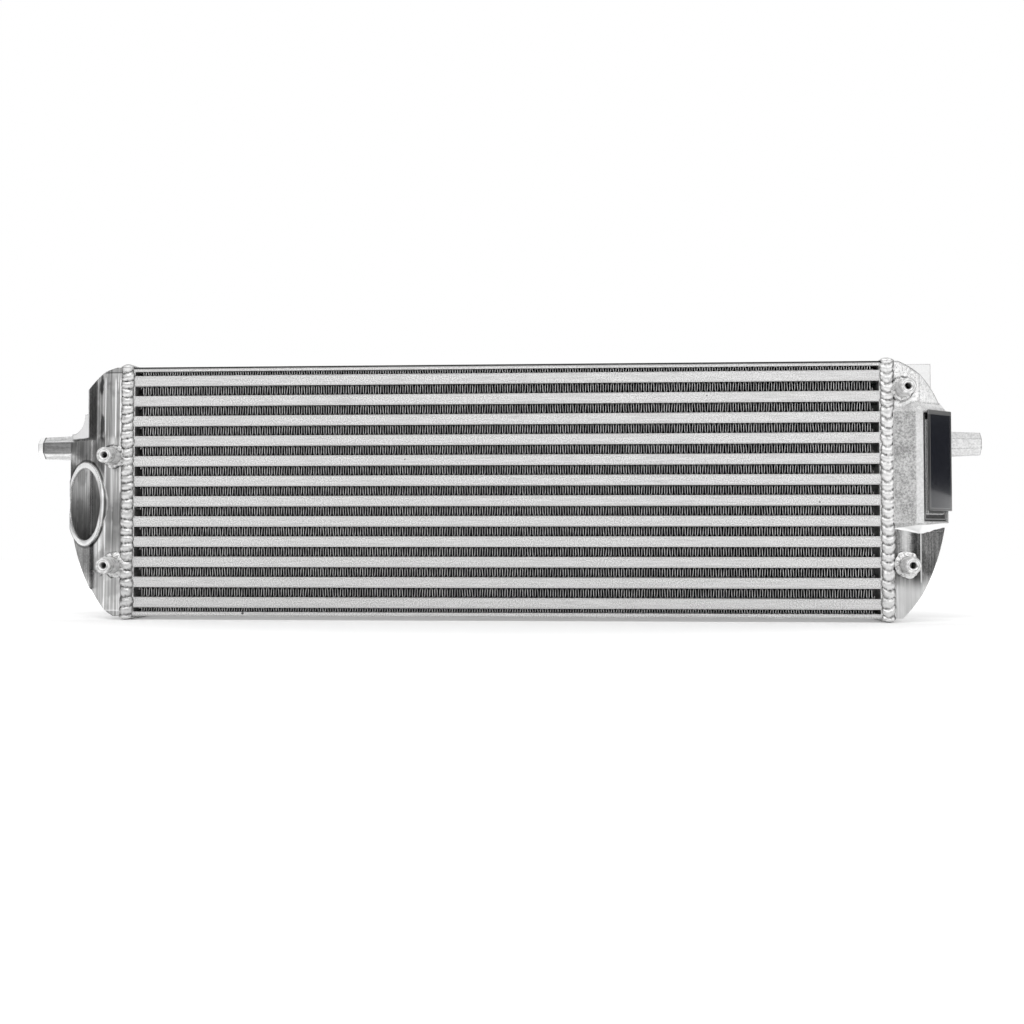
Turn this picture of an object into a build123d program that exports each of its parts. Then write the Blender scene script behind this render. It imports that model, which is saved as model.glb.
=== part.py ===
"""Bar-and-plate intercooler: a brazed core between two cast end tanks.

Millimetres. X runs along the core, the front face looks along -Y and Z is up.
The origin is the middle of the core's underside. The weld beads stand below it and
carry the part on the floor.
"""
import math
import os

from build123d import *

os.makedirs("parts", exist_ok=True)

# ---------------------------------------------------------------- core stack
JOINT_X = 301.0                     # half length of the core, out to the weld joint
CORE_DEPTH = 80.0
TUBE_COUNT = 12
BAR_HEIGHT = 7.0                    # long bars at the front and rear of a charge tube
BAR_DEPTH = 6.0
SHEET = 0.6                         # parting sheet
SIDE_PLATE = 3.5
FIN_HEIGHT = 8.0                    # air fin row between two tubes
END_FIN_HEIGHT = 3.6                # low row against a side plate
SPACER_WIDTH = 5.0                  # short bar closing the end of a fin row
FIN_END_GAP = 4.5                   # open slot between fin pack and spacer bar
FIN_SETBACK = 1.0                   # fins end this far behind the bar faces
FIN_SHEET = 0.5
AIR_LEG_COUNT = 30                  # legs drawn per air fin row
TURBULATOR_LEG_COUNT = 8            # legs drawn inside a charge tube

HALF_DEPTH = CORE_DEPTH / 2
TUBE_HEIGHT = BAR_HEIGHT + 2 * SHEET
TUBE_PITCH = TUBE_HEIGHT + FIN_HEIGHT
FIRST_TUBE_Z = SIDE_PLATE + END_FIN_HEIGHT
CORE_HEIGHT = 2 * FIRST_TUBE_Z + TUBE_COUNT * TUBE_HEIGHT + (TUBE_COUNT - 1) * FIN_HEIGHT
FIN_LENGTH = 2 * (JOINT_X - SPACER_WIDTH - FIN_END_GAP)
FIN_DEPTH = CORE_DEPTH - 2 * FIN_SETBACK
TUBE_BORE = CORE_DEPTH - 2 * BAR_DEPTH

# ---------------------------------------------------------------- end tanks
# "out" is the distance outboard of the weld joint, "back" the distance behind the front face.
WALL = 4.0
MITRE = 0.41                        # shift of a 45 degree corner per unit of wall
FOOT_OUT = 12.0                     # flat run of the tank's lower edge

LEFT_FLAT = 19.5                    # front flat, joint to facet edge
LEFT_WIDE = 64.5                    # outboard reach below the shoulder
LEFT_BELLY_Z = 110.0                # height of the widest point
LEFT_LOWER_MID = (54.0, 48.6)       # a point of the lower curve, out and up
LEFT_NARROW = 46.5                  # outboard reach above the shoulder
NARROW_FACET = 23.0                 # facet run above the shoulder, per axis
NARROW_BACK = 44.0                  # the cheek is square from here back
NARROW_TOP_Z = 182.0
NARROW_CROWN_MID = (29.0, 193.0)
SHOULDER_OUT = 60.5
SHOULDER_Z = 150.0
SHOULDER_MID = (51.5, 154.0)
SHOULDER_TOP_Z = 165.0
FIELD_START = 16.0                  # the raised field starts this far along the facet
FIELD_RISE = 1.4                    # raised field, per axis
FIELD_TOP_Z = 143.2

RIGHT_FLAT = 27.5
RIGHT_FALL = 5.0                    # the front face curves back this far at the facet edge
RIGHT_FRONT_MID = (14.0, 1.7)
RIGHT_FACET = 24.0                  # facet run, per axis
RIGHT_REACH = 53.0
CHEEK_BACK = 52.0                   # the cheek is square from here back
RIGHT_BELLY_Z = 112.0
RIGHT_LOWER_MID = (43.5, 47.0)
RIGHT_UPPER_MID = (48.3, 164.6)
CROWN_OUT = 10.0
PAD_RISE = 1.5                      # the pad stands proud of the core face
PAD_FLAT = 28.0
PAD_FACET = 24.5
PAD_REACH = 57.0
PAD_GROWTH = 2.5                    # pad outline outside the tank's outline
PAD_LOW_Z = 74.5                    # height band of the pad's full thickness
PAD_HIGH_Z = 161.5
PAD_SLOPE = 8.0                     # sloped ledge above and below that band
PAD_TAPER = 36.0

# ---------------------------------------------------------------- weld beads
BEAD_WIDTH = 9.6
BEAD_HEIGHT = 3.0
BEAD_BEVEL = 2.0
BEAD_CORNER = 3.0                   # corner cut off the bead's outline
BEAD_CLEAR = 0.4                    # nothing proud of the castings comes nearer to a bead
BEAD_EDGE = BEAD_WIDTH / 2 + BEAD_CLEAR

# ---------------------------------------------------------------- M6 threaded bosses
BOSS_RADIUS = 6.2
BOSS_FRONT = 25.0                   # boss face ahead of the core face
SEAT_RISE = 1.5                     # cast seat ahead of the core face
SEAT_RADIUS = 9.0
SEAT_ROOT = 8.0                     # seat runs this far into the tank's outline
THREAD_RADIUS = 2.5
THREAD_DEPTH = 16.0
LEFT_BOSS_OUT = BEAD_EDGE + BOSS_RADIUS
LEFT_UPPER_BOSS_Z = 128.5
LEFT_LOWER_BOSS_Z = 41.0
RIGHT_UPPER_BOSS_OUT = 12.5
RIGHT_UPPER_BOSS_DROP = 28.6        # below the top of the outlet flange
RIGHT_LOWER_BOSS_OUT = 15.0
RIGHT_LOWER_BOSS_Z = 41.8

# ---------------------------------------------------------------- mounting pegs
PEG_ROOT = 20.4                     # across flats
PEG_TIP = 18.0
LEFT_PEG_END = 93.0                 # tip, outboard of the joint
RIGHT_PEG_END = 84.0
PEG_BACK = 52.0
PEG_Z = 138.6
PEG_SINK = 3.0
PEG_FLATS = 8

# ---------------------------------------------------------------- hose spigots
SPIGOT_RADIUS = 28.5
SPIGOT_WALL = 3.0
SPIGOT_LENGTH = 40.0
LIP_RISE = 1.6
LIP_WIDTH = 3.0
LIP_FROM_END = 3.0
INLET_OUT = 34.0
INLET_Z = 92.0
FLANGE_SIDE = 59.0
FLANGE_REACH = 51.0                 # outboard edge of the outlet flange
FLANGE_TOP_Z = 207.0
FLANGE_THICK = 10.0
NECK_ROOT = 6.0                     # the neck block starts this far inside the rear face
NECK_LENGTH = 12.0
PORT_RADIUS = SPIGOT_RADIUS - SPIGOT_WALL
NECK_BACK = CORE_DEPTH - NECK_ROOT
OUTLET_OUT = FLANGE_REACH - FLANGE_SIDE / 2
OUTLET_Z = FLANGE_TOP_Z - FLANGE_SIDE / 2
RIGHT_UPPER_BOSS_Z = FLANGE_TOP_Z - RIGHT_UPPER_BOSS_DROP

# ---------------------------------------------------------------- cast ring and badge
RING_OUT = 43.5                     # the cheek cuts the ring off outboard
RING_Z = 90.6
RING_RADIUS = 34.5
RING_BAND = 5.0
RING_RISE = 1.2
RING_ROOT = 5.0
GROOVE_WIDTH = 33.4                 # bevelled groove cast round the badge seat
GROOVE_HEIGHT = 85.5
GROOVE_SIDE = 5.5
GROOVE_END = 6.0
GROOVE_DEPTH = 1.8
BADGE_WIDTH = 32.4
BADGE_HEIGHT = 79.0
BADGE_THICK = 1.5
BADGE_SHIFT = 4.4                   # stuck on outboard of the groove's centre
BADGE_LIFT = 5.3


def save(piece, name):
    piece.part.label = name
    export_step(piece.part, f"parts/{name}.step")


def x_at(side, out):
    return side * (JOINT_X + out)


def y_at(back):
    return back - HALF_DEPTH


# ---------------------------------------------------------------- core pieces
def spacer_bars(base_z, height):
    """Short bars across both ends of a fin row, added to the piece below or above."""
    middle = JOINT_X - SPACER_WIDTH / 2
    with Locations((-middle, 0, base_z), (middle, 0, base_z)):
        Box(SPACER_WIDTH, CORE_DEPTH, height, align=(Align.CENTER, Align.CENTER, Align.MIN))


def charge_tube(base_z, spacer_height):
    """Two long bars and two parting sheets brazed to a tube that is open at both ends."""
    with BuildPart() as tube:
        with BuildSketch(Plane.YZ.offset(-JOINT_X)):
            with Locations((0, base_z + TUBE_HEIGHT / 2)):
                Rectangle(CORE_DEPTH, TUBE_HEIGHT)
                Rectangle(TUBE_BORE, BAR_HEIGHT, mode=Mode.SUBTRACT)
        extrude(amount=2 * JOINT_X)
        if spacer_height:
            spacer_bars(base_z + TUBE_HEIGHT, spacer_height)
    return tube


def side_plate(base_z, spacer_z):
    with BuildPart() as plate:
        with Locations((0, 0, base_z)):
            Box(2 * JOINT_X, CORE_DEPTH, SIDE_PLATE, align=(Align.CENTER, Align.CENTER, Align.MIN))
        spacer_bars(spacer_z, END_FIN_HEIGHT)
    return plate


def corrugation(length, middle_z, height, legs):
    """Folded sheet whose crests touch the walls above and below it."""
    run = length / legs
    upright = FIN_SHEET * math.hypot(1, height / run)
    crest = (height - upright) / 2
    folds = [(index * run - length / 2, middle_z + crest * (-1) ** index) for index in range(legs + 1)]
    upper = [(along, z + upright / 2) for along, z in folds]
    lower = [(along, z - upright / 2) for along, z in reversed(folds)]
    with BuildLine() as outline:
        Polyline(*upper, *lower, close=True)
    make_face(outline.edges())


def air_fin(base_z, height):
    with BuildPart() as fin:
        with BuildSketch(Plane.XZ):
            corrugation(FIN_LENGTH, base_z + height / 2, height, AIR_LEG_COUNT)
        extrude(amount=FIN_DEPTH / 2, both=True)
    return fin


def turbulator(base_z):
    with BuildPart() as fin:
        with BuildSketch(Plane.YZ):
            corrugation(TUBE_BORE, base_z + TUBE_HEIGHT / 2, BAR_HEIGHT, TURBULATOR_LEG_COUNT)
        extrude(amount=JOINT_X, both=True)
    return fin


# ---------------------------------------------------------------- castings
def block(plan, front):
    """Solid whose plan and front outlines are given; each is a function that draws a face."""
    with BuildPart() as solid:
        with BuildSketch(Plane.XY):
            plan()
        extrude(amount=CORE_HEIGHT)
        with BuildSketch(Plane.XZ):
            front()
        extrude(amount=CORE_DEPTH, both=True, mode=Mode.INTERSECT)
    return solid.part


def plan_face(side, corners, front_mid=None):
    """Plan outline through (out, back) corners; the first run may be curved."""
    points = [(x_at(side, out), y_at(back)) for out, back in corners]
    with BuildLine() as outline:
        if front_mid:
            middle = (x_at(side, front_mid[0]), y_at(front_mid[1]))
            ThreePointArc(points[0], middle, points[1])
            Polyline(*points[1:], points[0])
        else:
            Polyline(*points, close=True)
    make_face(outline.edges())


def left_plan_narrow(wall):
    plan_face(-1, (
        (0, wall),
        (LEFT_FLAT - MITRE * wall, wall),
        (LEFT_FLAT + NARROW_FACET - wall, NARROW_FACET + MITRE * wall),
        (LEFT_NARROW - wall, NARROW_BACK),
        (LEFT_NARROW - wall, CORE_DEPTH - wall),
        (0, CORE_DEPTH - wall),
    ))


def left_plan_wide(wall):
    plan_face(-1, (
        (0, wall),
        (LEFT_FLAT - MITRE * wall, wall),
        (LEFT_WIDE - wall, LEFT_WIDE - LEFT_FLAT + MITRE * wall),
        (LEFT_WIDE - wall, CORE_DEPTH - wall),
        (0, CORE_DEPTH - wall),
    ))


def left_plan_field():
    start = LEFT_FLAT + FIELD_START
    plan_face(-1, (
        (start, FIELD_START),
        (start + FIELD_RISE, FIELD_START - FIELD_RISE),
        (LEFT_WIDE, LEFT_WIDE - LEFT_FLAT - 2 * FIELD_RISE),
        (LEFT_WIDE, CORE_DEPTH - WALL),
        (LEFT_WIDE - WALL, CORE_DEPTH - WALL),
        (LEFT_WIDE - WALL, LEFT_WIDE - LEFT_FLAT),
    ))


def left_front_narrow(wall):
    reach = LEFT_NARROW - wall
    top = CORE_HEIGHT - wall
    crown_mid = (x_at(-1, NARROW_CROWN_MID[0] - wall / 2), NARROW_CROWN_MID[1] - wall)
    with BuildLine() as outline:
        Polyline(
            (x_at(-1, CROWN_OUT), top),
            (x_at(-1, 0), top),
            (x_at(-1, 0), LEFT_BELLY_Z),
            (x_at(-1, reach), LEFT_BELLY_Z),
            (x_at(-1, reach), NARROW_TOP_Z - wall / 2),
        )
        ThreePointArc((x_at(-1, reach), NARROW_TOP_Z - wall / 2), crown_mid, (x_at(-1, CROWN_OUT), top))
    make_face(outline.edges())


def left_front_wide(wall, top):
    """Lower curve, cheek and shoulder; the shoulder is drawn only up to the given height."""
    reach = LEFT_WIDE - wall
    lower_mid = (x_at(-1, LEFT_LOWER_MID[0] - wall), LEFT_LOWER_MID[1] + wall / 2)
    shoulder_mid = (x_at(-1, SHOULDER_MID[0] - wall / 2), SHOULDER_MID[1] - wall)
    with BuildLine() as outline:
        Line((x_at(-1, 0), wall), (x_at(-1, FOOT_OUT - MITRE * wall), wall))
        ThreePointArc((x_at(-1, FOOT_OUT - MITRE * wall), wall), lower_mid, (x_at(-1, reach), LEFT_BELLY_Z))
        Polyline(
            (x_at(-1, reach), LEFT_BELLY_Z),
            (x_at(-1, reach), SHOULDER_Z - wall),
            (x_at(-1, SHOULDER_OUT - wall / 2), SHOULDER_Z - wall),
        )
        ThreePointArc(
            (x_at(-1, SHOULDER_OUT - wall / 2), SHOULDER_Z - wall),
            shoulder_mid,
            (x_at(-1, LEFT_NARROW - wall), SHOULDER_TOP_Z),
        )
        Polyline(
            (x_at(-1, LEFT_NARROW - wall), SHOULDER_TOP_Z),
            (x_at(-1, 0), SHOULDER_TOP_Z),
            (x_at(-1, 0), wall),
        )
    make_face(outline.edges())
    if top < SHOULDER_TOP_Z:
        with Locations((x_at(-1, 0), top)):
            Rectangle(3 * LEFT_WIDE, CORE_HEIGHT, align=(Align.CENTER, Align.MIN), mode=Mode.SUBTRACT)


def right_plan(wall):
    plan_face(1, (
        (0, wall),
        (RIGHT_FLAT - MITRE * wall, RIGHT_FALL + wall),
        (RIGHT_FLAT + RIGHT_FACET - wall, RIGHT_FALL + RIGHT_FACET + MITRE * wall),
        (RIGHT_REACH - wall, CHEEK_BACK),
        (RIGHT_REACH - wall, CORE_DEPTH - wall),
        (0, CORE_DEPTH - wall),
    ), (RIGHT_FRONT_MID[0], RIGHT_FRONT_MID[1] + wall))


def right_plan_pad():
    plan_face(1, (
        (BEAD_EDGE, -PAD_RISE),
        (PAD_FLAT, -PAD_RISE),
        (PAD_FLAT + PAD_FACET, PAD_FACET - PAD_RISE),
        (PAD_REACH, CHEEK_BACK),
        (PAD_REACH, CORE_DEPTH),
        (BEAD_EDGE, CORE_DEPTH),
    ))


def right_front(wall):
    """D outline; a negative wall draws it larger."""
    lower_mid = (x_at(1, RIGHT_LOWER_MID[0] - wall), RIGHT_LOWER_MID[1] + wall / 2)
    upper_mid = (x_at(1, RIGHT_UPPER_MID[0] - wall), RIGHT_UPPER_MID[1] - wall / 2)
    belly = (x_at(1, RIGHT_REACH - wall), RIGHT_BELLY_Z)
    foot = (x_at(1, FOOT_OUT - MITRE * wall), wall)
    crown = (x_at(1, CROWN_OUT), CORE_HEIGHT - wall)
    with BuildLine() as outline:
        ThreePointArc(foot, lower_mid, belly)
        ThreePointArc(belly, upper_mid, crown)
        Polyline(crown, (x_at(1, 0), CORE_HEIGHT - wall), (x_at(1, 0), wall), foot)
    make_face(outline.edges())


def boss_seat(side, out, z):
    """Cast disc under a threaded boss, cut straight where the weld bead runs."""
    with BuildSketch(Plane.XZ.offset(HALF_DEPTH + SEAT_RISE)) as seat:
        with Locations((x_at(side, out), z)):
            Circle(SEAT_RADIUS)
        with Locations((x_at(side, BEAD_EDGE), z)):
            Rectangle(
                2 * SEAT_RADIUS,
                4 * SEAT_RADIUS,
                align=(Align.MAX if side > 0 else Align.MIN, Align.CENTER),
                mode=Mode.SUBTRACT,
            )
    extrude(seat.sketch, amount=-SEAT_ROOT)


def facet_plane(side, out, back, z):
    """Plane on a 45 degree facet, X pointing outboard and back, Z out of the metal."""
    return Plane((x_at(side, out), y_at(back), z), x_dir=(side, 1, 0), z_dir=(side, -1, 0))


def peg(side, root_out, tip_out):
    """Eight-sided tapered peg, cast with the tank."""
    turn = 180 / PEG_FLATS
    with BuildSketch(Plane((x_at(side, root_out), y_at(PEG_BACK), PEG_Z), z_dir=(side, 0, 0))) as root:
        RegularPolygon(PEG_ROOT / 2, PEG_FLATS, major_radius=False, rotation=turn)
    with BuildSketch(Plane((x_at(side, tip_out), y_at(PEG_BACK), PEG_Z), z_dir=(side, 0, 0))) as tip:
        RegularPolygon(PEG_TIP / 2, PEG_FLATS, major_radius=False, rotation=turn)
    loft([root.sketch, tip.sketch])


def spigot(side, out, z, back):
    """Hose spigot facing the rear, with a retaining lip near its end."""
    with BuildSketch(Plane.XZ.offset(-y_at(back))) as tube:
        with Locations((x_at(side, out), z)):
            Circle(SPIGOT_RADIUS)
    extrude(tube.sketch, amount=-SPIGOT_LENGTH)
    with BuildSketch(Plane.XZ.offset(-y_at(back + SPIGOT_LENGTH - LIP_FROM_END))) as lip:
        with Locations((x_at(side, out), z)):
            Circle(SPIGOT_RADIUS + LIP_RISE)
    extrude(lip.sketch, amount=LIP_WIDTH)


def make_left_tank():
    narrow = block(lambda: left_plan_narrow(0), lambda: left_front_narrow(0))
    wide = block(lambda: left_plan_wide(0), lambda: left_front_wide(0, SHOULDER_TOP_Z))
    field = block(left_plan_field, lambda: left_front_wide(0, FIELD_TOP_Z))
    narrow_hollow = block(lambda: left_plan_narrow(WALL), lambda: left_front_narrow(WALL))
    wide_hollow = block(lambda: left_plan_wide(WALL), lambda: left_front_wide(WALL, SHOULDER_TOP_Z))
    with BuildPart() as tank:
        add(narrow)
        add(wide)
        add(field)
        with BuildSketch(facet_plane(-1, RING_OUT, RING_OUT - LEFT_FLAT - 2 * FIELD_RISE, RING_Z)) as ring:
            Circle(RING_RADIUS)
            Circle(RING_RADIUS - RING_BAND, mode=Mode.SUBTRACT)
        extrude(amount=RING_RISE)
        extrude(ring.sketch, amount=-RING_ROOT)
        split(bisect_by=Plane((x_at(-1, LEFT_WIDE), 0, 0), z_dir=(1, 0, 0)), keep=Keep.TOP)
        boss_seat(-1, LEFT_BOSS_OUT, LEFT_UPPER_BOSS_Z)
        boss_seat(-1, LEFT_BOSS_OUT, LEFT_LOWER_BOSS_Z)
        peg(-1, LEFT_WIDE - PEG_SINK, LEFT_PEG_END)
        spigot(-1, INLET_OUT, INLET_Z, CORE_DEPTH)
        add(narrow_hollow, mode=Mode.SUBTRACT)
        add(wide_hollow, mode=Mode.SUBTRACT)
        with BuildSketch(Plane.XZ.offset(-y_at(CORE_DEPTH - 2 * WALL))):
            with Locations((x_at(-1, INLET_OUT), INLET_Z)):
                Circle(PORT_RADIUS)
        extrude(amount=-(SPIGOT_LENGTH + 2 * WALL), mode=Mode.SUBTRACT)
    return tank


def outlet_flange():
    """Neck block on the rear wall and the square flange behind it."""
    neck_width = FLANGE_REACH - BEAD_EDGE
    with Locations((x_at(1, BEAD_EDGE), y_at(NECK_BACK), OUTLET_Z)):
        Box(neck_width, NECK_LENGTH, FLANGE_SIDE, align=(Align.MIN, Align.MIN, Align.CENTER))
    with Locations((x_at(1, OUTLET_OUT), y_at(NECK_BACK + NECK_LENGTH), OUTLET_Z)):
        Box(FLANGE_SIDE, FLANGE_THICK, FLANGE_SIDE, align=(Align.CENTER, Align.MIN, Align.CENTER))


def outlet_port():
    """Round passage; inside the neck its inboard side is cut straight by the wall."""
    flange_back = NECK_BACK + NECK_LENGTH
    with BuildSketch(Plane.XZ.offset(-y_at(flange_back))) as bore:
        with Locations((x_at(1, OUTLET_OUT), OUTLET_Z)):
            Circle(PORT_RADIUS)
    extrude(bore.sketch, amount=-(FLANGE_THICK + SPIGOT_LENGTH), mode=Mode.SUBTRACT)
    with BuildSketch(Plane.XZ.offset(-y_at(CORE_DEPTH - WALL))) as neck:
        with Locations((x_at(1, OUTLET_OUT), OUTLET_Z)):
            Circle(PORT_RADIUS)
        with Locations((x_at(1, BEAD_EDGE + WALL), OUTLET_Z)):
            Rectangle(FLANGE_SIDE, FLANGE_SIDE, align=(Align.MAX, Align.CENTER), mode=Mode.SUBTRACT)
    extrude(neck.sketch, amount=-(flange_back - CORE_DEPTH + WALL), mode=Mode.SUBTRACT)


def make_right_tank():
    shell = block(lambda: right_plan(0), lambda: right_front(0))
    hollow = block(lambda: right_plan(WALL), lambda: right_front(WALL))
    with BuildPart() as tank:
        with BuildSketch(Plane.XY.offset(PAD_LOW_Z)) as low:
            right_plan_pad()
        extrude(amount=PAD_HIGH_Z - PAD_LOW_Z)
        extrude(low.sketch, amount=-PAD_SLOPE, taper=PAD_TAPER)
        with BuildSketch(Plane.XY.offset(PAD_HIGH_Z)):
            right_plan_pad()
        extrude(amount=PAD_SLOPE, taper=PAD_TAPER)
        with BuildSketch(Plane.XZ):
            right_front(-PAD_GROWTH)
        extrude(amount=CORE_DEPTH, both=True, mode=Mode.INTERSECT)
        add(shell)
        boss_seat(1, RIGHT_UPPER_BOSS_OUT, RIGHT_UPPER_BOSS_Z)
        boss_seat(1, RIGHT_LOWER_BOSS_OUT, RIGHT_LOWER_BOSS_Z)
        peg(1, PAD_REACH - PEG_SINK, RIGHT_PEG_END)
        outlet_flange()
        spigot(1, OUTLET_OUT, OUTLET_Z, NECK_BACK + NECK_LENGTH + FLANGE_THICK)
        with BuildSketch(badge_plane()):
            Rectangle(GROOVE_WIDTH, GROOVE_HEIGHT)
            Rectangle(GROOVE_WIDTH - 2 * GROOVE_SIDE, GROOVE_HEIGHT - 2 * GROOVE_END, mode=Mode.SUBTRACT)
        extrude(amount=-GROOVE_DEPTH, mode=Mode.SUBTRACT)
        add(hollow, mode=Mode.SUBTRACT)
        outlet_port()
    return tank


def badge_plane():
    """Middle of the groove on the pad's facet."""
    return facet_plane(1, PAD_FLAT + PAD_FACET / 2, PAD_FACET / 2 - PAD_RISE, (PAD_LOW_Z + PAD_HIGH_Z) / 2)


# ---------------------------------------------------------------- small pieces
def make_badge():
    with BuildPart() as badge:
        with BuildSketch(badge_plane()):
            with Locations((BADGE_SHIFT, BADGE_LIFT)):
                Rectangle(BADGE_WIDTH, BADGE_HEIGHT)
        extrude(amount=BADGE_THICK)
    return badge


def make_boss(side, out, z):
    """Round boss with a blind tapped hole, welded on its cast seat."""
    with BuildPart() as boss:
        with BuildSketch(Plane.XZ.offset(HALF_DEPTH + SEAT_RISE)):
            with Locations((x_at(side, out), z)):
                Circle(BOSS_RADIUS)
        extrude(amount=BOSS_FRONT - SEAT_RISE)
        with BuildSketch(Plane.XZ.offset(HALF_DEPTH + BOSS_FRONT)):
            with Locations((x_at(side, out), z)):
                Circle(THREAD_RADIUS)
        extrude(amount=-THREAD_DEPTH, mode=Mode.SUBTRACT)
    return boss


def make_bead(side):
    """Weld bead that runs right round the joint between core and tank."""
    with BuildPart() as bead:
        with BuildSketch(Plane.YZ.offset(side * JOINT_X)) as outline:
            with Locations((0, CORE_HEIGHT / 2)):
                Rectangle(CORE_DEPTH + 2 * BEAD_HEIGHT, CORE_HEIGHT + 2 * BEAD_HEIGHT)
            chamfer(outline.vertices(), BEAD_CORNER)
        extrude(amount=BEAD_WIDTH / 2, both=True)
        rims = bead.faces().filter_by(Axis.X).edges()
        chamfer(rims, BEAD_BEVEL)
        with Locations((side * JOINT_X, 0, CORE_HEIGHT / 2)):
            Box(2 * BEAD_WIDTH, CORE_DEPTH, CORE_HEIGHT, mode=Mode.SUBTRACT)
    return bead


# ---------------------------------------------------------------- build
save(side_plate(0, SIDE_PLATE), "bottom_side_plate")
save(side_plate(CORE_HEIGHT - SIDE_PLATE, CORE_HEIGHT - FIRST_TUBE_Z), "top_side_plate")
save(air_fin(SIDE_PLATE, END_FIN_HEIGHT), "air_fin_01")
save(air_fin(CORE_HEIGHT - FIRST_TUBE_Z, END_FIN_HEIGHT), f"air_fin_{TUBE_COUNT + 1:02d}")
for row in range(TUBE_COUNT):
    tube_z = FIRST_TUBE_Z + row * TUBE_PITCH
    above = FIN_HEIGHT if row + 1 < TUBE_COUNT else 0
    save(charge_tube(tube_z, above), f"charge_tube_{row + 1:02d}")
    save(turbulator(tube_z), f"turbulator_{row + 1:02d}")
    if above:
        save(air_fin(tube_z + TUBE_HEIGHT, FIN_HEIGHT), f"air_fin_{row + 2:02d}")

save(make_left_tank(), "left_tank")
save(make_right_tank(), "right_tank")
save(make_boss(-1, LEFT_BOSS_OUT, LEFT_UPPER_BOSS_Z), "left_upper_boss")
save(make_boss(-1, LEFT_BOSS_OUT, LEFT_LOWER_BOSS_Z), "left_lower_boss")
save(make_boss(1, RIGHT_UPPER_BOSS_OUT, RIGHT_UPPER_BOSS_Z), "right_upper_boss")
save(make_boss(1, RIGHT_LOWER_BOSS_OUT, RIGHT_LOWER_BOSS_Z), "right_lower_boss")
save(make_bead(-1), "left_weld_bead")
save(make_bead(1), "right_weld_bead")
save(make_badge(), "badge_plate")
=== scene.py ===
"""Looks of the bar-and-plate intercooler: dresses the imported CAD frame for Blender 4.5.

Metres, in the frame of the part: X along the core, the front looks along -Y, Z is up.
"""

import math
import random

import bmesh
import bpy
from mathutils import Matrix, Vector, noise


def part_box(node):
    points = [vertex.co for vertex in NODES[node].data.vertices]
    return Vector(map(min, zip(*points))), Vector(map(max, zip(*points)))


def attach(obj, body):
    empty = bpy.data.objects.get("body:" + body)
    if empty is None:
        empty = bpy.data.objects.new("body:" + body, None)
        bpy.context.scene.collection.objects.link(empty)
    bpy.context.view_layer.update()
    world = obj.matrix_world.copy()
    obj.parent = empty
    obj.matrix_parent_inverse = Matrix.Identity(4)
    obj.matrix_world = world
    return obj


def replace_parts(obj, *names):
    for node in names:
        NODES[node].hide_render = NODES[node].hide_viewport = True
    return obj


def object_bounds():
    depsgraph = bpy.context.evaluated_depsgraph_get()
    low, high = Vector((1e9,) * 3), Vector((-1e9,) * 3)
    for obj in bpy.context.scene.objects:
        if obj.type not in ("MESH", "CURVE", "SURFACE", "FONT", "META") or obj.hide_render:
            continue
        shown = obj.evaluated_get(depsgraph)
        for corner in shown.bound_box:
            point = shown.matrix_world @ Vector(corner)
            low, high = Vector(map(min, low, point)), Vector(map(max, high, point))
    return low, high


MM = 0.001

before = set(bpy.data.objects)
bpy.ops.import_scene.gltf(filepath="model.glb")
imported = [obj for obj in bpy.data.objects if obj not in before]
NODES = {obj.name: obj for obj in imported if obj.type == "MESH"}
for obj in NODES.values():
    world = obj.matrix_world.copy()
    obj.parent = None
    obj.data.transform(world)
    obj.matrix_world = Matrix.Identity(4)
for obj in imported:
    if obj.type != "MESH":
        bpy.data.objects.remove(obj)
CAD_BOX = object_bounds()


# ---------------------------------------------------------------- sizes read from the frame
def low(node):
    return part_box(node)[0]


def high(node):
    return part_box(node)[1]


TUBE_NAMES = sorted(name for name in NODES if name.startswith("charge_tube"))
FIN_NAMES = sorted(name for name in NODES if name.startswith("air_fin"))
TURBULATOR_NAMES = sorted(name for name in NODES if name.startswith("turbulator"))
PLATE_NAMES = ("bottom_side_plate", "top_side_plate")
BOSS_NAMES = ("left_upper_boss", "left_lower_boss", "right_upper_boss", "right_lower_boss")
SIDES = {"left": -1, "right": 1}

CORE_END = high("charge_tube_01")[0]
CORE_FRONT = low("charge_tube_01")[1]
CORE_REAR = high("charge_tube_01")[1]
CORE_TOP = high("top_side_plate")[2]
TUBE_START = low("charge_tube_01")[2]
TUBE_PITCH = low("charge_tube_02")[2] - TUBE_START
TUBE_HEIGHT = TUBE_PITCH - (high("air_fin_02")[2] - low("air_fin_02")[2])
FLOOR = CAD_BOX[0][2]

# ---------------------------------------------------------------- regions of the castings
# Out is outboard of the weld joint, up is above the core's underside.
LEFT_FLAT = 19.5 * MM               # the left front's flat, joint to facet
FLAT_SHADE_UP = (56 * MM, 128 * MM)  # painted shade band across that flat
FLAT_HIGH_UP = (140 * MM, 147 * MM)  # painted shade again between these heights
LOW_FACET_OUT = (27 * MM, 38 * MM)  # painted shade on the lower part of the left facet
LOW_FACET_UP = (30 * MM, 67 * MM)
FIELD_EDGE_UP = (142 * MM, 146 * MM)  # upper edge of the raised field
SATIN_OUT = (19.5 * MM, 30 * MM)    # satin strip of the facet above the field
SHADE_OUT = (29.5 * MM, 32.5 * MM)   # and where it is painted dark as shade, further out
# painted highlight on the shoulder of the left casting, out and up:
SHOULDER_OUT = (40 * MM, 42.5 * MM)
SHOULDER_UP = (145 * MM, 146 * MM)
CREST_UP = 196.5 * MM               # painted shade line where the left flat turns over to the top
LIP_UP = 4.5 * MM                   # painted highlight line where it turns under, painted shade below
RING_OUT = 43.5 * MM                # centre of the cast ring
RING_UP = 90.6 * MM
RING_INNER = 29.5 * MM
RING_OUTER = 34.5 * MM
PEG_UP = 138.6 * MM                 # axis of the pegs
LEFT_TIP_OUT = 89.0 * MM            # the left peg is pale beyond this
RIGHT_FLAT = 27.5 * MM              # the right front, joint to facet
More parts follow.
